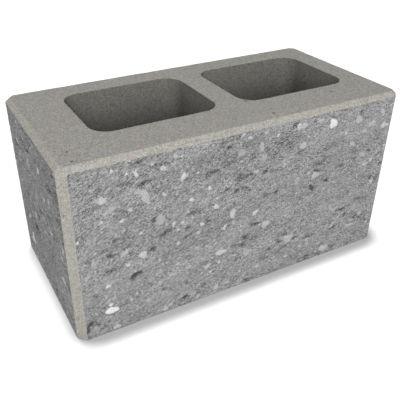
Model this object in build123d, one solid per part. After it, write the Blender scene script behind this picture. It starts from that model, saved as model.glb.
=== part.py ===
from build123d import *
from math import atan2, degrees
import os

# Split-face corner block: a hollow concrete masonry unit pressed as one piece.
#
# Two of its upright faces, the front (-Y) and the left end (-X), are broken faces
# with thick shells behind them. The back (+Y) and the right end (+X) are moulded
# smooth, with thinner shells. Two cores run right through from the top face to the
# bottom face. The upright corners and the rim of the top face are chamfered, and
# the foot of the block is left square.
#
# Millimetres. X runs along the length, Y through the depth and Z up. The origin is
# the centre of the rectangle that the block stands on.

# Overall size
BLOCK_LENGTH = 400.0
BLOCK_DEPTH = 200.0
BLOCK_HEIGHT = 200.0

# Wall thicknesses at the top face, where the cores are widest and the walls thinnest
SPLIT_SHELL = 54.0
PLAIN_SHELL = 32.5
WEB = 29.0

# Cores: rounded oblongs that narrow downwards, so that the mould's cores can lift out
CORE_COUNT = 2
CORE_CORNER_RADIUS = 21.0
CORE_DRAFT = 3.0

# Arrises: legs of the 45 degree chamfers
UPRIGHT_CHAMFER = 8.0
RIM_CHAMFER = 5.0

# The split shells stand at the low X and low Y sides, the plain ones opposite
CORE_ROW_LENGTH = BLOCK_LENGTH - SPLIT_SHELL - PLAIN_SHELL
CORE_LENGTH = (CORE_ROW_LENGTH - WEB * (CORE_COUNT - 1)) / CORE_COUNT
CORE_DEPTH = BLOCK_DEPTH - SPLIT_SHELL - PLAIN_SHELL
CORE_PITCH = CORE_LENGTH + WEB
FIRST_CORE_X = -BLOCK_LENGTH / 2 + SPLIT_SHELL + CORE_LENGTH / 2
CORE_Y = -BLOCK_DEPTH / 2 + SPLIT_SHELL + CORE_DEPTH / 2
DRAFT_ANGLE = degrees(atan2(CORE_DRAFT, BLOCK_HEIGHT))


def blank() -> Part:
    """The block before its cores: an oblong with chamfered upright corners and rim."""
    body = Box(
        BLOCK_LENGTH,
        BLOCK_DEPTH,
        BLOCK_HEIGHT,
        align=(Align.CENTER, Align.CENTER, Align.MIN),
    )
    body = chamfer(body.edges().filter_by(Axis.Z), UPRIGHT_CHAMFER)
    rim = body.faces().sort_by(Axis.Z)[-1].outer_wire().edges()
    return chamfer(rim, RIM_CHAMFER)


def core() -> Part:
    """One core, mouth upwards at the origin and running down through the block's height."""
    mouth = Plane.XY * RectangleRounded(CORE_LENGTH, CORE_DEPTH, CORE_CORNER_RADIUS)
    return extrude(mouth, amount=BLOCK_HEIGHT, dir=(0, 0, -1), taper=DRAFT_ANGLE)


def concrete_block() -> Part:
    """The finished block, with the row of cores set towards its plain walls."""
    block = blank()
    for index in range(CORE_COUNT):
        place = Pos(FIRST_CORE_X + index * CORE_PITCH, CORE_Y, BLOCK_HEIGHT)
        block -= place * core()
    return block


os.makedirs("parts", exist_ok=True)
export_step(concrete_block(), "parts/concrete_block.step")
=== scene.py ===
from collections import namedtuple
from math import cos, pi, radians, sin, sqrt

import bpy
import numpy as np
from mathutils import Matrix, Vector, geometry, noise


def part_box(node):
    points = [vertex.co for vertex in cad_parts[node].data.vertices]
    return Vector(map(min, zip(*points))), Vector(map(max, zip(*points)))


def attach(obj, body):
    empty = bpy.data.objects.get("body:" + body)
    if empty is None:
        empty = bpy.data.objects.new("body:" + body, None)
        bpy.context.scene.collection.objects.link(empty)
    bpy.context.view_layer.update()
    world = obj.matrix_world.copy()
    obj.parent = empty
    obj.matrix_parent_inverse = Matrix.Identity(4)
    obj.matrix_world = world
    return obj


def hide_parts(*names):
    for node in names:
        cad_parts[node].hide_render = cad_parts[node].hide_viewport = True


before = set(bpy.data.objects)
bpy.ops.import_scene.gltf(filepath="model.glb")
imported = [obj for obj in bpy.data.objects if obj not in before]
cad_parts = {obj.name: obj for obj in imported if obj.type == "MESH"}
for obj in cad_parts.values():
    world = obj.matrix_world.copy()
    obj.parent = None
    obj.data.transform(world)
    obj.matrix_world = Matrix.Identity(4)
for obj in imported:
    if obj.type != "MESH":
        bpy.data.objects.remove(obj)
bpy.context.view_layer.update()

# The looks of a split-face corner block, as one closed skin over its solid.
#
# Metres, Z up, in the frame of the solid. The front (-Y) and the left end (-X) are
# broken faces, and their relief is modelled. The top, the back, the right end, the
# chamfers and the cores are moulded. A place on a broken face is given in millimetres:
# across to the right as seen from outside, and up from the foot.

MM = 0.001
NODE = "concrete_block"
BLOCK_NAME = "split_face_block"
LOW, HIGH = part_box(NODE)

# Sizes of the solid
SPLIT_SHELL = 54 * MM
PLAIN_SHELL = 32.5 * MM
WEB = 29 * MM
CORE_COUNT = 2
CORE_CORNER_RADIUS = 21 * MM
CORE_DRAFT = 3 * MM
UPRIGHT_CHAMFER = 8 * MM
RIM_CHAMFER = 5 * MM

HEIGHT = HIGH.z - LOW.z
WALL_TOP = HIGH.z - RIM_CHAMFER
WALL_HEIGHT = WALL_TOP - LOW.z
CORE_LENGTH = (HIGH.x - LOW.x - SPLIT_SHELL - PLAIN_SHELL - WEB * (CORE_COUNT - 1)) / CORE_COUNT
CORE_DEPTH = HIGH.y - LOW.y - SPLIT_SHELL - PLAIN_SHELL
CORE_PITCH = CORE_LENGTH + WEB
FIRST_CORE_X = LOW.x + SPLIT_SHELL + CORE_LENGTH / 2
CORE_Y = LOW.y + SPLIT_SHELL + CORE_DEPTH / 2

# Spacing of the skin's points
SPLIT_STEP = 1.35 * MM
PLAIN_STEP = 9 * MM
CHAMFER_STEP = 2 * MM
RIM_STEP = 1.5 * MM
CORE_STEP = 5 * MM
CORE_CORNER_STEPS = 8
ARRIS_WIDTH = 0.9 * MM
MOUTH_ROUNDING = 0.3 * MM
ROUNDING_MIDWAY = 0.3
WELD_DISTANCE = 1e-7
CHAMFER_MARGIN = 0.1 * MM

# Lie of the grain: it rises to the right, less and less, and is level from the reach on.
# Along it the noise is stretched, and the layers keep the two faces apart in the noise.
LIE_SLOPE = 0.5
LIE_REACH = 300
LIE_STRETCH = 2.0
LAYER_GAP = 500.0

# Relief of the broken faces: widths, heights and depths in millimetres, and levels of the
# noise at which the ledges start and are full
SWELL_WIDTH = 60
SWELL_HEIGHT = 0.6
LUMP_WIDTH = 17
LUMP_HEIGHT = 0.8
STONE_WIDTH = 8
STONE_HEIGHT = 0.6
PEBBLE_WIDTH = 3.6
PEBBLE_HEIGHT = 0.22
GRIT_WIDTH = 2.4
GRIT_HEIGHT = 0.25
LEDGE_WIDTH = 6.5
LEDGE_DEPTH = 0.8
LEDGE_FROM = 0.25
LEDGE_FULL = 0.8
LEDGE_SHIFT = 70
HOLLOW_DEPTH = 1.5
HOLLOW_TIGHTNESS = 0.9
CHIP_HEIGHT = 0.4
CHIP_EDGE = 0.6
CHIP_SMOOTHNESS = 0.7
CHIP_LEAST_HALF_WIDTH = 2.2
PATCH_GROWTH = 0.5
PATCH_THREE_LOBES = 0.10
PATCH_FIVE_LOBES = 0.07
RELIEF_SINK = 0.5
RELIEF_FADE = 3.5
FAR = 99.0
ON_FACE = 1e-3

# Wear all over the block: width and depth in millimetres, and levels of its noise
WEAR_WIDTH = 7
WEAR_DEPTH = 0.25
WEAR_FROM = -0.2
WEAR_FULL = 0.8

# How the noise's octaves follow each other, and the shape of the tilted stones
NOISE_FALLOFF = 1.0
NOISE_OCTAVE_STEP = 2.1
STONE_CREASE = 0.3
STONE_MEAN = 0.75
STONE_SHUFFLE = 7

# How much each part of the relief adds to the mark of a hollow, which the material darkens as painted
# shade
# Painted light too: raised lumps, stones and grit come out lighter, sunk ledges darker
HOLLOW_PAINTED_SHADE = 1.3
LUMP_MARK = -0.17
STONE_MARK = -0.06
GRIT_MARK = -0.08
LEDGE_MARK = 0.16
LOW_LYING_LIMITS = (-0.5, 0.9)

# Colours and roughness
SPLIT_GREY = (0.320, 0.320, 0.320)
MOULDED_TAN = (0.418, 0.406, 0.370)
CHAMFER_TAN = (0.446, 0.430, 0.386)
CHIP_PALE = (0.62, 0.62, 0.62, 1)
# Pores and pits are darkened towards this colour as painted shade in them
HOLE_PAINTED_SHADE = (0.10, 0.095, 0.085)
TINT_LEAST = (0.95, 0.96, 0.95)
TINT_SPREAD = (0.10, 0.08, 0.10)
CHAMFER_TINT_LOSS = 0.5
SPLIT_ROUGHNESS = 0.94
MOULDED_ROUGHNESS = 0.88
SHINE = 0.3
# Painted shade on the walls of the cores: the share of their colour taken away at either mouth and deep
# inside, the depth at which it is deepest, and how far below the arris it comes in
CORE_SHADE_AT_MOUTH = 0.51
CORE_SHADE_WITHIN = 0.81
CORE_SHADE_DEPTH = 90 * MM
CORE_SHADE_START = 0.5 * MM

# Weights of what is summed into the tone and into the height, in millimetres, of the concrete
GRIT_TONE = {"level": 0.0, "fine": 1.65, "sand": 0.72}
SPLIT_TONE = {
    "level": 1.06, "broad": 0.10, "clouds": 0.45, "grit": 1.0,
    "gravel": 0.08, "seams": -0.20, "hollows": -0.58,
}
SPLIT_LEAST_TONE = 0.25
SPLIT_HEIGHT = {"level": 0.0, "fine": 0.30, "sand_edge": -0.30, "gravel": 0.25, "seams": -0.40}
CHIP_TONE = {"level": 1.06, "tone": 1.05, "fine": 0.55, "mottle": 0.35}
CHIP_COVER = 0.92
CHIP_HEIGHT_LEFT = 0.3
MOULDED_TONE = {"level": 1.0, "fine": 0.46, "sand": 0.46, "mottle": 0.02, "broad": 0.02}
MOULDED_HEIGHT = {"level": 0.0, "fine": 0.14, "sand_edge": -0.16, "holes": -1.0}

# Specks, one to a cell: width of the cells in millimetres, share of them that have a speck, and
# the speck's radius and soft edge in cell widths
Specks = namedtuple("Specks", "width share radius softness", defaults=[0.12])
PALE_SPECKS = Specks(9.0, 0.25, 0.20)
BRIGHT_SPECKS = Specks(3.0, 0.20, 0.22)
FLECKS = Specks(6.0, 0.20, 0.12)
PORES = Specks(7.0, 0.35, 0.11)
PITS = Specks(20.0, 0.7, 0.075, 0.03)
SPECK_LEAST = 0.5
SPECK_RAGGEDNESS = 0.35
PALE_SPECK_COVER = 0.22
FLECK_COVER = 0.35
PORE_COVER = 0.5
PIT_COVER = 0.75
PIT_RAGGEDNESS = 0.12

# Camera
CAMERA_AT = Vector((-0.29531, -0.50936, 0.42254))
CAMERA_AZIMUTH = radians(28.30)
CAMERA_DIP = radians(31.18)
SENSOR_WIDTH = 36.0
FOCAL_PIXELS = 552.86
PICTURE_PIXELS = 400
CENTRE_SHIFT_PIXELS = (12.42, -4.82)

# Light
LAMP_DISTANCE = 3.0
LAMP_SIZE = 1.8
KEY_AZIMUTH = radians(-18)
KEY_HEIGHT = radians(28)
KEY_LEVEL = 0.71
FILL_AZIMUTH = radians(-150)
FILL_HEIGHT = radians(35)
FILL_LEVEL = 0.18
WORLD_LEVEL = 0.32

# Floor, with painted shadow round the block's foot and painted shade on the floor inside the cores,
# which fades in under the shells
FLOOR_SIZE = 4.0
FLOOR_PALE = (0.64, 0.64, 0.64)
FLOOR_GLOW = 0.75
FLOOR_PAINTED_SHADE_IN_CORES = 0.10
CORE_FLOOR_FROM = 30 * MM
CORE_FLOOR_TO = 10 * MM
SHADOW_LEAN = {"X": -0.15, "Y": 0.48, "Z": 0.86}
SHADOW_REACH = 27.5 * MM
SHADOW_SAMPLES = 32
SHADOW_DARKEST = 0.38
SHADOW_DARK_AT = 0.45
SHADOW_GONE_AT = 0.96

# Marks on the broken faces: their middle, length and width in millimetres, their tilt in
# degrees, and how pale a chip or how deep a hollow is. The left end has the same marks as the
# left half of the front.
Patch = namedtuple("Patch", "across up long short tilt tone")
BrokenFace = namedtuple("BrokenFace", "origin across out width")

CHIPS = [
    Patch(37.5, 28, 13.5, 6, -3, 1.6),
    Patch(37, 36, 4, 2.5, 20, 1.4),
    Patch(36, 60, 4.5, 2.5, 0, 1.3),
    Patch(60, 33, 3, 2.3, 0, 0.8),
    Patch(41.5, 4, 7, 4.5, 0, 0.75),
    Patch(98, 4, 5, 3.5, 0, 0.9),
    Patch(104, 7, 4, 4, -50, 0.45),
    Patch(78.5, 24.5, 4, 4, 0, 0.4),
    Patch(93, 42, 6, 4, 0, 0.3),
    Patch(39, 64, 8, 3.5, 0, 0.35),
    Patch(93, 71.5, 4, 1.5, 90, 0.55),
    Patch(80.5, 151.5, 14, 7, -72, 0.5),
    Patch(76, 158.5, 9, 4, -8, 0.4),
    Patch(37.5, 160, 6, 6, 0, 0.62),
    Patch(33, 161, 4, 3, 0, 0.25),
    Patch(45.5, 148, 7, 5, 90, 0.35),
    Patch(41, 146, 8, 2.5, 35, 0.4),
    Patch(72, 178.5, 6, 2.5, -60, 1.0),
    Patch(63, 181, 3, 2.5, 0, 0.8),
    Patch(49, 187, 3, 2, 90, 0.9),
    Patch(66.5, 194, 2.5, 2.5, 0, 0.8),
    Patch(64, 142, 5.5, 2.5, -25, 0.8),
    Patch(35, 136.5, 3, 2.5, 30, 0.8),
    Patch(55.5, 132, 4, 3, 20, 0.8),
    Patch(100, 177, 4.5, 3.5, -20, 0.6),
    Patch(100.5, 148.5, 4, 2, -60, 0.7),
    Patch(121.5, 162.5, 7.5, 4, 65, 1.0),
    Patch(130, 134, 4.5, 3.5, 0, 1.0),
    Patch(150.5, 142, 4, 2.5, -50, 1.1),
    Patch(113, 186.5, 4, 3, -40, 0.55),
    Patch(188, 191.5, 5, 2, 30, 0.8),
    Patch(197, 186.5, 5, 2.5, -10, 0.8),
    Patch(187, 173, 8, 6, 0, 0.3),
    Patch(258, 186, 6, 5, 60, 0.65),
    Patch(304, 180, 10, 9, 0, 1.5),
    Patch(231, 182, 3.5, 3, 90, 0.8),
    Patch(216, 188, 4, 2.5, 0, 0.5),
    Patch(212, 173, 10, 4, 100, 0.35),
    Patch(216, 160, 6, 6, 0, 0.3),
    Patch(266, 162, 8, 7, 0, 0.5),
    Patch(265, 186, 6, 5, -30, 0.55),
    Patch(287, 187, 7, 3, 0, 0.35),
    Patch(243, 146, 3, 2.5, 0, 0.5),
    Patch(207, 146, 5, 4, 0, 0.5),
    Patch(342, 177, 9, 7, -50, 0.55),
    Patch(364, 170, 2.5, 2, 0, 0.9),
    Patch(361, 167, 5, 4, 0, 0.5),
    Patch(353, 160.5, 5, 4, 0, 0.4),
    Patch(377, 179, 10, 4, -60, 0.5),
    Patch(382, 162, 6, 5, 90, 0.75),
    Patch(387.5, 161.5, 4, 3, 90, 0.9),
    Patch(325, 164, 3, 2, 0, 0.7),
    Patch(338, 148, 8, 3.5, -45, 0.45),
    Patch(356, 130.5, 8, 5, 0, 0.4),
    Patch(371.5, 119.5, 3.5, 3, 90, 0.85),
    Patch(364, 115.5, 8, 3, -5, 0.6),
    Patch(380.5, 88, 7, 3.5, 85, 0.9),
    Patch(10.5, 121.5, 2.5, 2.5, 0, 1.0),
    Patch(95.5, 121.5, 9, 8, 90, 0.35),
    Patch(56, 94, 7, 5, 20, 0.45),
    Patch(75.5, 85.5, 7.5, 7, 0, 0.75),
    Patch(58.5, 78.5, 3.5, 2.5, 0, 0.9),
    Patch(74, 112.5, 3, 2, 0, 0.75),
    Patch(110, 111, 5, 2.5, 70, 0.8),
    Patch(26, 105, 2.2, 2.2, 0, 0.7),
    Patch(159, 117.5, 5, 4, 0, 0.75),
    Patch(115, 103, 3.5, 2.5, 0, 1.0),
    Patch(142.5, 101, 4.5, 3, -25, 0.85),
    Patch(180, 102.5, 11, 5, 85, 0.7),
    Patch(171, 88, 6, 3, 60, 0.9),
    Patch(182, 89.5, 4, 3.5, -35, 0.5),
    Patch(138.5, 91.5, 3, 2.5, 0, 0.55),
    Patch(115, 86, 3.5, 3, 0, 0.7),
    Patch(209, 94.5, 7, 2.5, 25, 0.9),
    Patch(288, 120.5, 10, 7, 0, 0.45),
    Patch(263, 119, 7, 5, 80, 0.3),
    Patch(277.5, 125.5, 3, 3, 0, 0.6),
    Patch(224, 74.5, 8, 8, 0, 0.65),
    Patch(166.5, 56, 12.5, 4.5, -4, 0.8),
    Patch(154, 34, 3, 3, 0, 0.85),
    Patch(164.5, 44, 2.5, 2.5, 0, 0.9),
    Patch(151.5, 43.5, 7, 2.2, 15, 0.55),
    Patch(201, 44, 9, 8, 0, 0.4),
    Patch(131.5, 12, 9, 6, 0, 0.35),
    Patch(162, 9, 8, 4, 60, 0.6),
    Patch(176.5, 9.5, 5, 3, 0, 0.45),
    Patch(139, 4.5, 5, 4, 0, 0.5),
    Patch(193, 19.5, 2.5, 2.5, 0, 0.6),
    Patch(217, 17.5, 5, 4, 0, 0.8),
    Patch(259.5, 43.5, 13, 8, -15, 0.5),
    Patch(288.5, 31, 5, 3.5, 0, 0.45),
    Patch(278.5, 25, 3, 2, -40, 0.8),
    Patch(259, 17, 3, 2.5, 0, 0.9),
    Patch(317.5, 9, 13, 8, 0, 0.55),
    Patch(308, 19.5, 3.5, 3, 90, 0.6),
    Patch(325, 39.5, 4, 2.5, 0, 1.0),
    Patch(353.5, 31.5, 9, 3.5, 0, 0.5),
    Patch(384, 27, 3.5, 2.5, 0, 0.65),
    Patch(370, 44, 6, 5, -30, 0.5),
    Patch(321, 65, 12, 1.8, -48, 0.45),
]
# Hollows are sunk into the relief by their tone and darkened in colour by it as painted shade
HOLLOWS = [
    Patch(200, 158, 190, 58, 0, 0.11),
    Patch(10.5, 12, 10, 3, 80, 1.1),
    Patch(14.5, 17.5, 9, 3.5, 35, 1.4),
    Patch(21.5, 15.5, 7, 3, -40, 1.1),
    Patch(28, 9, 5, 3, 0, 0.8),
    Patch(66.5, 62.5, 11, 4.5, 25, 1.8),
    Patch(52, 29, 9, 1.8, 8, 0.7),
    Patch(22, 52, 5, 4, 0, 0.6),
    Patch(97, 32, 4, 3, 0, 1.4),
    Patch(42, 95, 8, 4, 0, 0.8),
    Patch(61, 90.5, 6, 4, 0, 0.9),
    Patch(87, 88, 4, 3.5, 0, 1.5),
    Patch(101, 103, 10, 5, 25, 0.9),
    Patch(47, 112, 4, 3, 0, 0.7),
    Patch(88.5, 122, 7, 2.5, 70, 0.8),
    Patch(40, 77, 14, 5, 0, 0.5),
    Patch(80, 166.5, 16, 4, 8, 0.9),
    Patch(61, 170, 12, 4, 0, 0.6),
    Patch(77, 190, 14, 2, 15, 0.8),
    Patch(53, 141, 18, 6, -25, 0.5),
    Patch(28, 153, 20, 4, 5, 0.5),
    Patch(98, 181, 14, 4, 5, 0.8),
    Patch(149, 157, 9, 5, 70, 0.9),
    Patch(156, 159, 13, 3.5, -5, 1.0),
    Patch(174, 163.5, 16, 2.5, 15, 0.7),
    Patch(195, 166.5, 18, 2.5, 8, 0.8),
    Patch(187, 144, 9, 7, 0, 0.9),
    Patch(198, 144, 14, 3.5, 3, 0.9),
    Patch(173, 181, 3.5, 3, 0, 1.3),
    Patch(253, 189, 5, 3, 0, 0.9),
    Patch(237, 173.5, 8, 5, 0, 0.9),
    Patch(248, 168.5, 6, 4, 0, 0.7),
    Patch(219, 142, 6, 3, 30, 1.3),
    Patch(233, 140, 15, 4, -15, 0.6),
    Patch(264, 155, 11, 3, 20, 0.6),
    Patch(345, 185, 3.5, 3, 0, 1.2),
    Patch(341, 138, 14, 7, 0, 0.35),
    Patch(135, 117, 16, 3.5, -5, 1.0),
    Patch(126, 101.5, 6, 3, 0, 0.9),
    Patch(149, 102, 7, 3, -15, 0.8),
    Patch(181, 114, 4, 3, 90, 1.0),
    Patch(194, 128.5, 10, 5, -20, 0.9),
    Patch(184, 129, 6, 5, 0, 1.0),
    Patch(128, 92, 13, 2.5, 20, 0.6),
    Patch(170, 133, 13, 3, 20, 0.6),
    Patch(199, 65, 7, 4, 0, 1.4),
    Patch(206.5, 78.5, 4, 4, 0, 0.9),
    Patch(285.5, 105, 9, 2.6, -48, 1.2),
    Patch(223.5, 112.5, 7, 4, 0, 0.8),
    Patch(236, 113, 5, 4, 0, 0.8),
    Patch(212, 78, 6, 3, -10, 1.6),
    Patch(288, 126.5, 5, 3, 0, 1.0),
    Patch(292, 134, 14, 4, 0, 0.6),
    Patch(326, 123, 5, 2.5, 0, 0.8),
    Patch(306, 109, 5, 3, 0, 1.1),
    Patch(366, 133, 7, 4, 0, 0.8),
    Patch(390, 111, 5, 3.5, 90, 1.1),
    Patch(378, 95, 8, 3, -20, 0.8),
    Patch(386, 91, 8, 3, 0, 0.6),
    Patch(127, 63, 5, 4, 0, 0.8),
    Patch(143, 48, 9, 5, 0, 0.4),
    Patch(194, 56, 6, 5, 0, 0.8),
    Patch(184, 58, 5, 4, 0, 0.6),
    Patch(146.5, 17.5, 5, 3.5, 0, 0.8),
    Patch(124, 10, 12, 4, 15, 1.1),
    Patch(187, 38, 5, 4, 90, 0.7),
    Patch(204, 2, 9, 3, 0, 0.9),
    Patch(292, 4, 6, 4, 0, 0.9),
    Patch(288, 35, 10, 3, 0, 1.2),
    Patch(268, 40.5, 7, 2.5, 0, 0.9),
    Patch(255, 32, 14, 3, 18, 0.9),
    Patch(226, 26.5, 9, 2.5, -10, 0.8),
    Patch(233, 36, 6, 3, -30, 0.8),
    Patch(246, 43, 8, 3, -50, 0.8),
    Patch(253, 51, 7, 3, 0, 0.5),
    Patch(328, 36.5, 6, 3, 10, 1.3),
    Patch(337, 59, 12, 2.5, -3, 1.4),
    Patch(346, 61.5, 10, 2.5, 15, 0.7),
    Patch(366, 67, 18, 4, -8, 0.7),
    Patch(345, 50.5, 4, 3, -30, 1.3),
    Patch(363, 41, 8, 3.5, 0, 0.9),
    Patch(371, 38, 7, 4, -50, 0.7),
    Patch(382, 30.5, 6, 2, -15, 0.9),
    Patch(370, 15.5, 10, 3, 0, 0.7),
    Patch(334, 5.5, 6, 3.5, 0, 0.8),
    Patch(309, 2.5, 8, 3, 0, 0.8),
]
BROKEN_FACES = [
    BrokenFace(
        origin=(LOW.x, LOW.y, LOW.z),
        across=(1, 0, 0),
        out=(0, -1, 0),
        width=(HIGH.x - LOW.x) / MM,
    ),
    BrokenFace(
        origin=(LOW.x, HIGH.y, LOW.z),
        across=(0, -1, 0),
        out=(-1, 0, 0),
        width=(HIGH.y - LOW.y) / MM,
    ),
]


def eased(value, low, high):
    """0 up to low, 1 from high on, and an easy curve between them."""
    share = np.clip((value - low) / (high - low), 0.0, 1.0)
    return share * share * (3 - 2 * share)


# Shape


def stops(length, step):
    """Shares of a length, from 0 up to but not with 1, with a narrow step at each end."""
    count = max(1, round((length - 2 * ARRIS_WIDTH) / step))
    inner = np.linspace(ARRIS_WIDTH, length - ARRIS_WIDTH, count + 1) / length
    return [0.0, *inner]


def outline(inset):
    """Corners of the block's plan, drawn in by inset, anticlockwise from the front's left."""
    left, front = LOW.x + inset, LOW.y + inset
    right, back = HIGH.x - inset, HIGH.y - inset
    cut = UPRIGHT_CHAMFER - (2 - sqrt(2)) * inset
    corners = [
        (left + cut, front), (right - cut, front), (right, front + cut), (right, back - cut),
        (right - cut, back), (left + cut, back), (left, back - cut), (left, front + cut),
    ]
    return [Vector(corner) for corner in corners]


def side_stops():
    """The stops along each side of the outline, close ones on the two broken faces."""
    front = HIGH.x - LOW.x - 2 * UPRIGHT_CHAMFER
    end = HIGH.y - LOW.y - 2 * UPRIGHT_CHAMFER
    chamfer = stops(UPRIGHT_CHAMFER * sqrt(2), CHAMFER_STEP)
    return [
        stops(front, SPLIT_STEP), chamfer, stops(end, PLAIN_STEP), chamfer,
        stops(front, PLAIN_STEP), chamfer, stops(end, SPLIT_STEP), chamfer,
    ]


def outer_loop(inset, z, all_stops):
    """One level loop round the outside of the block."""
    corners = outline(inset)
    points = []
    for side, shares in enumerate(all_stops):
        start, end = corners[side], corners[(side + 1) % len(corners)]
        points += [(*start.lerp(end, share), z) for share in shares]
    return points


def outer_levels():
    """Inset and height of each outer loop, from the foot's underside up onto the top face."""
    levels = [(ARRIS_WIDTH, LOW.z)]
    levels += [(0.0, LOW.z + share * WALL_HEIGHT) for share in stops(WALL_HEIGHT, SPLIT_STEP)]
    levels += [
        (share * RIM_CHAMFER, WALL_TOP + share * RIM_CHAMFER)
        for share in stops(RIM_CHAMFER * sqrt(2), RIM_STEP)
    ]
    levels += [(RIM_CHAMFER, HIGH.z), (RIM_CHAMFER + ARRIS_WIDTH, HIGH.z)]
    return levels


def core_loop(index, growth, z):
    """One level loop round a core, anticlockwise, grown sideways from the core's mouth."""
    centre_x = FIRST_CORE_X + index * CORE_PITCH
    reach_x = CORE_LENGTH / 2 - CORE_CORNER_RADIUS
    reach_y = CORE_DEPTH / 2 - CORE_CORNER_RADIUS
    radius = CORE_CORNER_RADIUS + growth
    points = []
    turns = [(1, -1, -pi / 2), (1, 1, 0.0), (-1, 1, pi / 2), (-1, -1, pi)]
    straights = [reach_y, reach_x, reach_y, reach_x]
    for (side_x, side_y, start), reach in zip(turns, straights):
        end = start + pi / 2
        for angle in np.linspace(start, end, CORE_CORNER_STEPS + 1):
            x = centre_x + side_x * reach_x + radius * cos(angle)
            y = CORE_Y + side_y * reach_y + radius * sin(angle)
            points.append(Vector((x, y, z)))
        # The straight run heads the way that the arc ends, up to the next corner
        run = Vector((-sin(end), cos(end), 0)) * 2 * reach
        count = round(2 * reach / CORE_STEP)
        corner = points[-1]
        points += [corner + run * step / count for step in range(1, count)]
    return [tuple(point) for point in points]


def core_levels():
    """Growth and height of each core loop, from the top face down to the underside."""
    rounding = MOUTH_ROUNDING
    midway = ROUNDING_MIDWAY * rounding
    levels = [(rounding + ARRIS_WIDTH, HIGH.z), (rounding, HIGH.z), (midway, HIGH.z - midway)]
    depths = [rounding + share * (HEIGHT - rounding) for share in stops(HEIGHT - rounding, CORE_STEP)]
    levels += [(-CORE_DRAFT * depth / HEIGHT, HIGH.z - depth) for depth in depths]
    levels += [(-CORE_DRAFT, LOW.z), (ARRIS_WIDTH - CORE_DRAFT, LOW.z)]
    return levels


class Skin:
    """The points and faces of the block's surface, gathered loop by loop."""

    def __init__(self):
        self.points = []
        self.faces = []
        self.core_points = []

    def loop(self, points):
        first = len(self.points)
        self.points += points
        return list(range(first, len(self.points)))

    def band(self, first, second):
        """Quads from one loop to the next one along."""
        count = len(first)
        for here in range(count):
            there = (here + 1) % count
            self.faces.append((first[here], first[there], second[there], second[here]))

    def tube(self, loops):
        for first, second in zip(loops, loops[1:]):
            self.band(first, second)

    def plate(self, outer, holes, faces_up):
        """A flat face inside the outer loop and outside the holes."""
        rings = [outer, *holes]
        order = [index for ring in rings for index in ring]
        flat = [Vector(self.points[index][:2]) for index in order]
        edges = []
        first = 0
        for ring in rings:
            edges += [(first + step, first + (step + 1) % len(ring)) for step in range(len(ring))]
            first += len(ring)
        inside_constraints = 1
        result = geometry.delaunay_2d_cdt(flat, edges, [], inside_constraints, WELD_DISTANCE)
        triangles, origins = result[2], result[3]
        hole_sets = [set(hole) for hole in holes]
        for triangle in triangles:
            face = [order[origins[corner][0]] for corner in triangle]
            if any(hole.issuperset(face) for hole in hole_sets):
                continue
            self.faces.append(tuple(face if faces_up else reversed(face)))


def block_skin():
    """The whole surface, plane by plane, before any relief."""
    skin = Skin()
    all_stops = side_stops()
    outer = [skin.loop(outer_loop(inset, z, all_stops)) for inset, z in outer_levels()]
    skin.tube(outer)
    first_core_point = len(skin.points)
    cores = [
        [skin.loop(core_loop(index, growth, z)) for growth, z in core_levels()]
        for index in range(CORE_COUNT)
    ]
    for loops in cores:
        skin.tube(loops)
    skin.core_points = range(first_core_point, len(skin.points))
    skin.plate(outer[-1], [loops[0] for loops in cores], faces_up=True)
    skin.plate(outer[0], [loops[-1] for loops in cores], faces_up=False)
    return skin


# Relief


def noise_at(points, width, octaves):
    """Smooth noise of about -1 to 1 at each point, with features of about that width."""
    return np.array([
        noise.fractal(Vector(point) / width, NOISE_FALLOFF, NOISE_OCTAVE_STEP, octaves)
        for point in points
    ])


def stones_at(points, width):
    """Heights, about -1 to 1, of tilted stones packed side by side with creases between them."""
    heights = []
    for point in points:
        place = Vector(point) / width
        distances, centres = noise.voronoi(place)
        tilt = noise.cell_vector(centres[0] * STONE_SHUFFLE).dot(place - centres[0])
        crease = min((distances[1] - distances[0]) / STONE_CREASE, 1.0)
        heights.append(tilt + crease - STONE_MEAN)
    return np.array(heights)


def patch_radius(patch, across, up):
    """Distance from a patch's centre, where 1 is its lobed edge."""
    tilt = radians(patch.tilt)
    ahead = (across - patch.across) * cos(tilt) + (up - patch.up) * sin(tilt)
    aside = (up - patch.up) * cos(tilt) - (across - patch.across) * sin(tilt)
    ahead = ahead / (patch.long / 2 + PATCH_GROWTH)
    aside = aside / (patch.short / 2 + PATCH_GROWTH)
    angle = np.arctan2(aside, ahead)
    turn = patch.across + 3 * patch.up
    three_lobes = PATCH_THREE_LOBES * np.sin(3 * angle + turn)
    five_lobes = PATCH_FIVE_LOBES * np.sin(5 * angle + 2 * turn)
    return np.hypot(ahead, aside) / (1 + three_lobes + five_lobes)


def chip_marks(across, up):
    """About the distance to the nearest chip's edge, negative inside it, and the chip's tone."""
    edge = np.full(across.shape, FAR)
    tone = np.zeros(across.shape)
    for chip in CHIPS:
        half_width = max(chip.short / 2, CHIP_LEAST_HALF_WIDTH)
        distance = (patch_radius(chip, across, up) - 1) * half_width
        nearer = distance < edge
        edge[nearer] = distance[nearer]
        tone[nearer] = chip.tone
    return edge, tone


def hollow_marks(across, up):
    """How deep each place lies in the hollows, from 0 up to the deepest hollow's tone."""
    depth = np.zeros(across.shape)
    for hollow in HOLLOWS:
        here = hollow.tone * np.exp(-(HOLLOW_TIGHTNESS * patch_radius(hollow, across, up)) ** 3)
        depth = np.maximum(depth, here)
    return depth


def grain_places(across, up, number):
    """Places bent to the lie of the grain and squeezed along it, for noise to be read at."""
    bent = np.minimum(across, LIE_REACH)
    rise = LIE_SLOPE * bent * (1 - bent / (2 * LIE_REACH))
    layer = np.full(across.shape, LAYER_GAP * (number + 1))
    return np.stack([across / LIE_STRETCH, up - rise, layer], axis=1)


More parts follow.
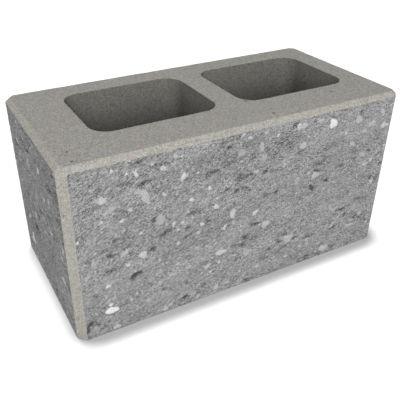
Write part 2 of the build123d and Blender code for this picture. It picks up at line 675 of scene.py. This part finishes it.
def on_chamfers(points):
    """1 on the chamfers and 0 elsewhere."""
    middle = (LOW + HIGH) / 2
    reach_x = HIGH.x - middle.x - np.abs(points[:, 0] - middle.x)
    reach_y = HIGH.y - middle.y - np.abs(points[:, 1] - middle.y)
    from_rim = np.minimum(reach_x, reach_y) + HIGH.z - points[:, 2]
    upright = reach_x + reach_y < UPRIGHT_CHAMFER + CHAMFER_MARGIN
    rim = from_rim < RIM_CHAMFER + CHAMFER_MARGIN
    return (upright | rim).astype(float)


class Marks:
    """What the material reads at each point of the skin."""

    def __init__(self, points):
        count = len(points)
        self.fracture = np.full(count, -FAR)
        self.hollow = np.zeros(count)
        self.chip = np.full(count, FAR)
        self.tone = np.zeros(count)
        # core: painted shade on the cores' walls, taken off their colour
        self.core = np.zeros(count)
        self.chamfer = on_chamfers(points)
        self.grain = points / MM

    def store(self, mesh):
        for name in ("fracture", "hollow", "chip", "tone", "core", "chamfer"):
            layer = mesh.attributes.new(name, "FLOAT", "POINT")
            layer.data.foreach_set("value", getattr(self, name).astype(np.float32))
        layer = mesh.attributes.new("grain", "FLOAT_VECTOR", "POINT")
        layer.data.foreach_set("vector", self.grain.astype(np.float32).ravel())


def shade_cores(marks, points, core_points):
    """Marks the walls of the cores with painted shade, which darkens them away from both mouths."""
    cores = np.array(core_points)
    heights = points[cores, 2]
    depths = np.minimum(HIGH.z - heights, heights - LOW.z)
    shade = np.interp(depths, [0, CORE_SHADE_DEPTH], [CORE_SHADE_AT_MOUTH, CORE_SHADE_WITHIN])
    marks.core[cores] = shade * eased(depths, 0.0, CORE_SHADE_START)


def break_face(face, number, points, marks):
    """Outward relief of one broken face, in millimetres, and its marks."""
    offset = (points - np.array(face.origin)) / MM
    across = offset @ np.array(face.across, float)
    out = offset @ np.array(face.out, float)
    up = offset[:, 2]
    low, high, top = UPRIGHT_CHAMFER / MM, face.width - UPRIGHT_CHAMFER / MM, WALL_HEIGHT / MM
    beside = np.maximum(np.maximum(low - across, across - high), 0)
    above = np.maximum(np.maximum(up - top, -up), 0)
    outside = np.sqrt(beside**2 + above**2 + out**2)
    on_face = outside < ON_FACE
    from_moulded = np.minimum(np.minimum(across - low, high - across), top - up)
    from_edges = np.minimum(from_moulded, up)
    border = np.where(on_face, np.maximum(from_moulded, 0), -outside)
    marks.fracture = np.maximum(marks.fracture, border)

    across, up = across[on_face], up[on_face]
    places = grain_places(across, up, number)
    chip, tone = chip_marks(across, up)
    hollow = hollow_marks(across, up)
    swell = noise_at(places, SWELL_WIDTH, octaves=2)
    lump = noise_at(places, LUMP_WIDTH, octaves=3)
    stones = stones_at(places, STONE_WIDTH)
    pebbles = stones_at(places, PEBBLE_WIDTH)
    grit = noise_at(places, GRIT_WIDTH, octaves=2)
    ledge = eased(noise_at(places + LEDGE_SHIFT, LEDGE_WIDTH, octaves=2), LEDGE_FROM, LEDGE_FULL)
    on_chip = 1 - eased(chip, -CHIP_EDGE, CHIP_EDGE)

    rough = STONE_HEIGHT * stones + PEBBLE_HEIGHT * pebbles + GRIT_HEIGHT * grit
    rough = rough * (1 - CHIP_SMOOTHNESS * on_chip) + CHIP_HEIGHT * on_chip * tone
    relief = SWELL_HEIGHT * swell + LUMP_HEIGHT * lump + rough
    relief -= HOLLOW_DEPTH * hollow + LEDGE_DEPTH * ledge + RELIEF_SINK

    # Painted shade and light by height: low-lying relief darker, raised relief lighter
    low_lying_painted_shade = LUMP_MARK * lump + STONE_MARK * stones + GRIT_MARK * grit + LEDGE_MARK * ledge
    marks.hollow[on_face] = HOLLOW_PAINTED_SHADE * hollow + np.clip(low_lying_painted_shade, *LOW_LYING_LIMITS)
    marks.chip[on_face] = chip
    marks.tone[on_face] = tone
    marks.grain[on_face] = places
    result = np.zeros(len(points))
    result[on_face] = relief * eased(from_edges[on_face], 0, RELIEF_FADE)
    return result


def add_relief(mesh, marks):
    """Moves each point along its normal by the relief of the broken faces and a little wear."""
    count = len(mesh.vertices)
    places, normals = np.empty(count * 3), np.empty(count * 3)
    mesh.vertices.foreach_get("co", places)
    mesh.vertices.foreach_get("normal", normals)
    places, normals = places.reshape(-1, 3), normals.reshape(-1, 3)
    relief = sum(break_face(face, number, places, marks) for number, face in enumerate(BROKEN_FACES))
    wear = noise_at(places / MM, WEAR_WIDTH, octaves=2)
    relief -= WEAR_DEPTH * eased(wear, WEAR_FROM, WEAR_FULL)
    moved = places + normals * relief[:, None] * MM
    moved[:, 2] = np.maximum(moved[:, 2], LOW.z)
    mesh.vertices.foreach_set("co", moved.ravel())
    mesh.update()


def build_block():
    skin = block_skin()
    mesh = bpy.data.meshes.new(BLOCK_NAME)
    mesh.from_pydata(skin.points, [], skin.faces)
    mesh.update()
    points = np.array(skin.points)
    marks = Marks(points)
    shade_cores(marks, points, skin.core_points)
    add_relief(mesh, marks)
    marks.store(mesh)
    mesh.shade_smooth()
    block = bpy.data.objects.new(BLOCK_NAME, mesh)
    bpy.context.scene.collection.objects.link(block)
    return block


# Materials


class Look:
    """A material in the making: each call adds nodes and returns the output that they end in."""

    COLOUR_A, COLOUR_B, COLOUR_OUT = 6, 7, 2
    NUMBER_A, NUMBER_B, NUMBER_OUT = 2, 3, 0

    def __init__(self, name):
        self.material = bpy.data.materials.new(name)
        self.material.use_nodes = True
        self.tree = self.material.node_tree
        self.shader = self.tree.nodes["Principled BSDF"]

    def join(self, value, socket):
        if isinstance(value, bpy.types.NodeSocket):
            self.tree.links.new(value, socket)
        else:
            socket.default_value = value

    def add(self, kind, output, inputs, **settings):
        node = self.tree.nodes.new(kind)
        for name, value in settings.items():
            setattr(node, name, value)
        for name, value in inputs.items():
            self.join(value, node.inputs[name])
        return node.outputs[output]

    def mark(self, name, output="Fac"):
        return self.add("ShaderNodeAttribute", output, {}, attribute_name=name)

    def math(self, operation, first, second=0.0):
        return self.add("ShaderNodeMath", 0, {0: first, 1: second}, operation=operation)

    def vector(self, operation, *values):
        return self.add("ShaderNodeVectorMath", 0, dict(enumerate(values)), operation=operation)

    def total(self, *values):
        result = values[0]
        for value in values[1:]:
            result = self.math("ADD", result, value)
        return result

    def times(self, first, second):
        return self.math("MULTIPLY", first, second)

    def weighed(self, weights, **values):
        """The level in the weights, and on top of it each value times its weight."""
        return self.total(weights["level"], *(self.times(values[name], weights[name]) for name in values))

    def eased(self, value, low, high, start=0.0, end=1.0):
        """start up to low, end from high on, and an easy curve between them."""
        sockets = {"Value": value, "From Min": low, "From Max": high, "To Min": start, "To Max": end}
        return self.add("ShaderNodeMapRange", "Result", sockets, interpolation_type="SMOOTHSTEP")

    def noise(self, place, width, detail=2.0, weight=1.0, roughness=0.5):
        """Noise about 0, with features of about that width in millimetres and finer ones."""
        sockets = {"Vector": place, "Scale": 1 / width, "Detail": detail, "Roughness": roughness}
        cloud = self.add("ShaderNodeTexNoise", "Fac", sockets)
        return self.times(self.math("SUBTRACT", cloud, 0.5), 2 * weight)

    def cells(self, place, width):
        """Distance from the middle of each cell, in cell widths, and a random colour for it."""
        distance = self.add("ShaderNodeTexVoronoi", "Distance", {"Vector": place, "Scale": 1 / width})
        return distance, distance.node.outputs["Color"]

    def parts(self, colour):
        """The three numbers of a colour."""
        return self.add("ShaderNodeSeparateColor", 0, {"Color": colour}).node.outputs

    def cell_tones(self, place, width):
        """Distance from the middle of each cell, in cell widths, and a random tone about 0."""
        distance, colour = self.cells(place, width)
        return distance, self.math("SUBTRACT", self.parts(colour)["Red"], 0.5)

    def specks(self, place, kind, ragged):
        """1 on a ragged speck in that kind's share of the cells, and 0 elsewhere."""
        distance, colour = self.cells(place, kind.width)
        random = self.parts(colour)
        distance = self.total(distance, self.times(ragged, SPECK_RAGGEDNESS))
        chosen = self.math("GREATER_THAN", random["Red"], 1 - kind.share)
        reach = self.total(self.times(random["Green"], kind.radius), SPECK_LEAST * kind.radius)
        inside = self.eased(self.math("SUBTRACT", reach, distance), 0.0, kind.softness)
        return self.times(chosen, inside)

    def mix(self, share, first, second):
        sockets = {0: share, self.COLOUR_A: first, self.COLOUR_B: second}
        return self.add("ShaderNodeMix", self.COLOUR_OUT, sockets, data_type="RGBA")

    def mix_numbers(self, share, first, second):
        sockets = {0: share, self.NUMBER_A: first, self.NUMBER_B: second}
        return self.add("ShaderNodeMix", self.NUMBER_OUT, sockets, data_type="FLOAT")

    def scaled(self, colour, factor):
        return self.add("ShaderNodeVectorMath", 0, {0: colour, "Scale": factor}, operation="SCALE")


def seams_look(look, grain):
    """1 along thin seams that run through some stretches of the broken faces, and 0 elsewhere."""
    line = look.math("ABSOLUTE", look.noise(grain, width=12.0, detail=0.0))
    line = look.eased(line, low=0.0, high=0.07, start=1.0, end=0.0)
    stretches = look.eased(look.noise(grain, width=26.0), low=0.08, high=0.3)
    return look.times(line, stretches)


def split_look(look, place, grain):
    """Colour and height, in millimetres, of the broken concrete."""
    fine = look.total(
        look.noise(place, width=0.9, detail=1.0, weight=0.62),
        look.noise(grain, width=0.9, detail=1.0, weight=0.5),
    )
    sand_edge, sand = look.cell_tones(grain, width=0.9)
    gravel = look.cell_tones(grain, width=4.2)[1]
    seams = seams_look(look, grain)
    coarseness = look.eased(look.noise(grain, width=50.0), low=-0.3, high=0.3, start=0.8, end=1.15)
    grit = look.weighed(GRIT_TONE, fine=fine, sand=sand)
    uneven = look.total(1.0, look.noise(grain, width=2.5, detail=2.0, weight=1.3))
    tone = look.weighed(
        SPLIT_TONE,
        broad=look.noise(grain, width=80.0, detail=1.0),
        clouds=look.noise(grain, width=40.0, detail=4.0, roughness=1.0),
        grit=look.times(grit, coarseness),
        gravel=gravel,
        seams=seams,
        # painted shade in the hollows and on low-lying relief
        hollows=look.times(look.mark("hollow"), uneven),
    )
    colour = look.scaled(SPLIT_GREY, look.math("MAXIMUM", tone, SPLIT_LEAST_TONE))

    ragged = look.noise(grain, width=1.6, detail=1.0)
    pale = look.specks(grain, PALE_SPECKS, ragged)
    bright = look.specks(grain, BRIGHT_SPECKS, ragged)
    colour = look.mix(look.times(pale, PALE_SPECK_COVER), colour, CHIP_PALE)
    colour = look.mix(bright, colour, CHIP_PALE)

    edge = look.total(look.mark("chip"), look.noise(grain, width=1.6, detail=2.0, weight=0.7))
    on_chip = look.eased(edge, low=-0.3, high=0.5, start=1.0, end=0.0)
    mottle = look.noise(grain, width=4.0)
    chip_tone = look.weighed(CHIP_TONE, tone=look.mark("tone"), fine=fine, mottle=mottle)
    colour = look.mix(look.times(on_chip, CHIP_COVER), colour, look.scaled(SPLIT_GREY, chip_tone))

    height = look.weighed(SPLIT_HEIGHT, fine=fine, sand_edge=sand_edge, gravel=gravel, seams=seams)
    kept = look.eased(on_chip, low=0.0, high=1.0, start=1.0, end=CHIP_HEIGHT_LEFT)
    return colour, look.times(height, kept)


def moulded_look(look, place):
    """Colour and height, in millimetres, of the moulded concrete."""
    on_chamfer = look.mark("chamfer")
    # The cores' painted shade darkens the colour, flecks and holes on their walls
    shade = look.math("SUBTRACT", 1.0, look.mark("core"))
    fine = look.noise(place, width=1.0, detail=1.0)
    sand_edge, sand = look.cell_tones(place, width=1.3)
    tone = look.weighed(
        MOULDED_TONE,
        fine=fine,
        sand=sand,
        mottle=look.noise(place, width=5.0),
        broad=look.noise(place, width=60.0),
    )
    tint = look.vector("MULTIPLY_ADD", look.cells(place, width=2.1)[1], TINT_SPREAD, TINT_LEAST)
    tint = look.mix(look.times(on_chamfer, CHAMFER_TINT_LOSS), tint, (1, 1, 1, 1))
    colour = look.mix(on_chamfer, (*MOULDED_TAN, 1), (*CHAMFER_TAN, 1))
    colour = look.vector("MULTIPLY", colour, tint)
    colour = look.scaled(colour, look.times(tone, shade))

    flecks = look.specks(place, FLECKS, fine)
    pores = look.specks(place, PORES, fine)
    pits = look.specks(place, PITS, look.times(fine, PIT_RAGGEDNESS))
    holes = look.math("MAXIMUM", look.times(pores, PORE_COVER), look.times(pits, PIT_COVER))
    colour = look.mix(look.times(flecks, FLECK_COVER), colour, look.scaled(CHIP_PALE[:3], shade))
    # Painted shade in the pores and pits
    colour = look.mix(holes, colour, look.scaled(HOLE_PAINTED_SHADE, shade))
    return colour, look.weighed(MOULDED_HEIGHT, fine=fine, sand_edge=sand_edge, holes=holes)


def concrete():
    """Grey broken concrete and tan moulded concrete, with a ragged line between them."""
    look = Look("concrete")
    place = look.scaled(look.add("ShaderNodeTexCoord", "Object", {}), 1 / MM)
    grain = look.mark("grain", "Vector")
    split_colour, split_height = split_look(look, place, grain)
    moulded_colour, moulded_height = moulded_look(look, place)
    border = look.total(look.mark("fracture"), look.noise(place, width=4.0, detail=3.0, weight=2.2))
    split = look.eased(border, low=0.4, high=0.9)
    look.join(look.mix(split, moulded_colour, split_colour), look.shader.inputs["Base Color"])
    height = look.mix_numbers(split, moulded_height, split_height)
    bump = look.add("ShaderNodeBump", "Normal", {"Height": height, "Distance": MM, "Strength": 1.0})
    look.join(bump, look.shader.inputs["Normal"])
    roughness = look.eased(split, low=0.0, high=1.0, start=MOULDED_ROUGHNESS, end=SPLIT_ROUGHNESS)
    look.join(roughness, look.shader.inputs["Roughness"])
    look.shader.inputs["Specular IOR Level"].default_value = SHINE
    return look.material


def floor_painted_shadow(look):
    """Painted shadow: 1 on the open floor, less close to the block's foot, and little inside the cores.
    """
    lean = look.add("ShaderNodeCombineXYZ", 0, SHADOW_LEAN)
    creases = {"Distance": SHADOW_REACH, "Normal": lean}
    crease = look.add("ShaderNodeAmbientOcclusion", "AO", creases, samples=SHADOW_SAMPLES)
    # Painted shadow near the block's foot, from the ambient occlusion
    painted_foot_shadow = look.eased(crease, SHADOW_DARK_AT, SHADOW_GONE_AT, SHADOW_DARKEST, 1.0)
    place = look.add("ShaderNodeTexCoord", "Object", {})
    past_sides = look.vector("SUBTRACT", look.vector("ABSOLUTE", place), HIGH)
    sides = look.add("ShaderNodeSeparateXYZ", 0, {"Vector": past_sides}).node.outputs
    past = look.math("MAXIMUM", sides["X"], sides["Y"])
    # Painted shade on the floor inside the cores
    painted_core_floor_shade = look.eased(past, -CORE_FLOOR_FROM, -CORE_FLOOR_TO, FLOOR_PAINTED_SHADE_IN_CORES, 1.0)
    return look.times(painted_foot_shadow, painted_core_floor_shade)


def floor_look():
    """A pale floor seen as white, with lamp shadows, and painted shadow darkening its colour and glow."""
    look = Look("floor")
    painted_shadow_share = floor_painted_shadow(look)
    look.join(look.scaled(FLOOR_PALE, painted_shadow_share), look.shader.inputs["Base Color"])
    look.shader.inputs["Roughness"].default_value = 1.0
    look.shader.inputs["Specular IOR Level"].default_value = 0.0
    look.shader.inputs["Emission Color"].default_value = (1, 1, 1, 1)
    sees = look.add("ShaderNodeLightPath", "Is Camera Ray", {})
    # The glow is darkened by the same painted shadow
    glow = look.times(look.times(sees, painted_shadow_share), FLOOR_GLOW)
    look.join(glow, look.shader.inputs["Emission Strength"])
    return look.material


# Stage


def add_floor():
    half = FLOOR_SIZE / 2
    mesh = bpy.data.meshes.new("floor")
    corners = [(-half, -half, LOW.z), (half, -half, LOW.z), (half, half, LOW.z), (-half, half, LOW.z)]
    mesh.from_pydata(corners, [], [(0, 1, 2, 3)])
    floor = bpy.data.objects.new("floor", mesh)
    bpy.context.scene.collection.objects.link(floor)
    mesh.materials.append(floor_look())


def add_world():
    """Even pale light all round, which the camera sees as white."""
    world = bpy.data.worlds.new("studio")
    world.use_nodes = True
    tree = world.node_tree
    background = tree.nodes["Background"]
    path = tree.nodes.new("ShaderNodeLightPath")
    level = tree.nodes.new("ShaderNodeMix")
    level.data_type = "FLOAT"
    tree.links.new(path.outputs["Is Camera Ray"], level.inputs[0])
    level.inputs[Look.NUMBER_A].default_value = WORLD_LEVEL
    level.inputs[Look.NUMBER_B].default_value = 1.0
    tree.links.new(level.outputs[Look.NUMBER_OUT], background.inputs["Strength"])
    background.inputs["Color"].default_value = (1, 1, 1, 1)
    bpy.context.scene.world = world


def add_lamp(name, azimuth, height, level):
    """A broad soft lamp. The azimuth turns from the front towards the right end."""
    towards = Vector((
        sin(azimuth) * cos(height),
        -cos(azimuth) * cos(height),
        sin(height),
    ))
    lamp = bpy.data.lights.new(name, "AREA")
    lamp.shape = "DISK"
    lamp.size = LAMP_SIZE
    lamp.energy = level * (pi * LAMP_DISTANCE) ** 2
    holder = bpy.data.objects.new(name, lamp)
    holder.location = (LOW + HIGH) / 2 + towards * LAMP_DISTANCE
    holder.rotation_mode = "QUATERNION"
    holder.rotation_quaternion = (-towards).to_track_quat("-Z", "Y")
    bpy.context.scene.collection.objects.link(holder)


def add_camera():
    aim = Vector((
        sin(CAMERA_AZIMUTH) * cos(CAMERA_DIP),
        cos(CAMERA_AZIMUTH) * cos(CAMERA_DIP),
        -sin(CAMERA_DIP),
    ))
    lens = bpy.data.cameras.new("camera")
    lens.sensor_width = SENSOR_WIDTH
    lens.lens = FOCAL_PIXELS * SENSOR_WIDTH / PICTURE_PIXELS
    lens.shift_x, lens.shift_y = (pixels / PICTURE_PIXELS for pixels in CENTRE_SHIFT_PIXELS)
    camera = bpy.data.objects.new("camera", lens)
    camera.location = CAMERA_AT
    camera.rotation_mode = "QUATERNION"
    camera.rotation_quaternion = aim.to_track_quat("-Z", "Y")
    bpy.context.scene.collection.objects.link(camera)
    bpy.context.scene.camera = camera


block = build_block()
block.data.materials.append(concrete())
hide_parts(NODE)
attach(block, "root")
add_floor()
add_world()
add_lamp("key", KEY_AZIMUTH, KEY_HEIGHT, KEY_LEVEL)
add_lamp("fill", FILL_AZIMUTH, FILL_HEIGHT, FILL_LEVEL)
add_camera()
bpy.context.scene.view_settings.view_transform = "Standard"
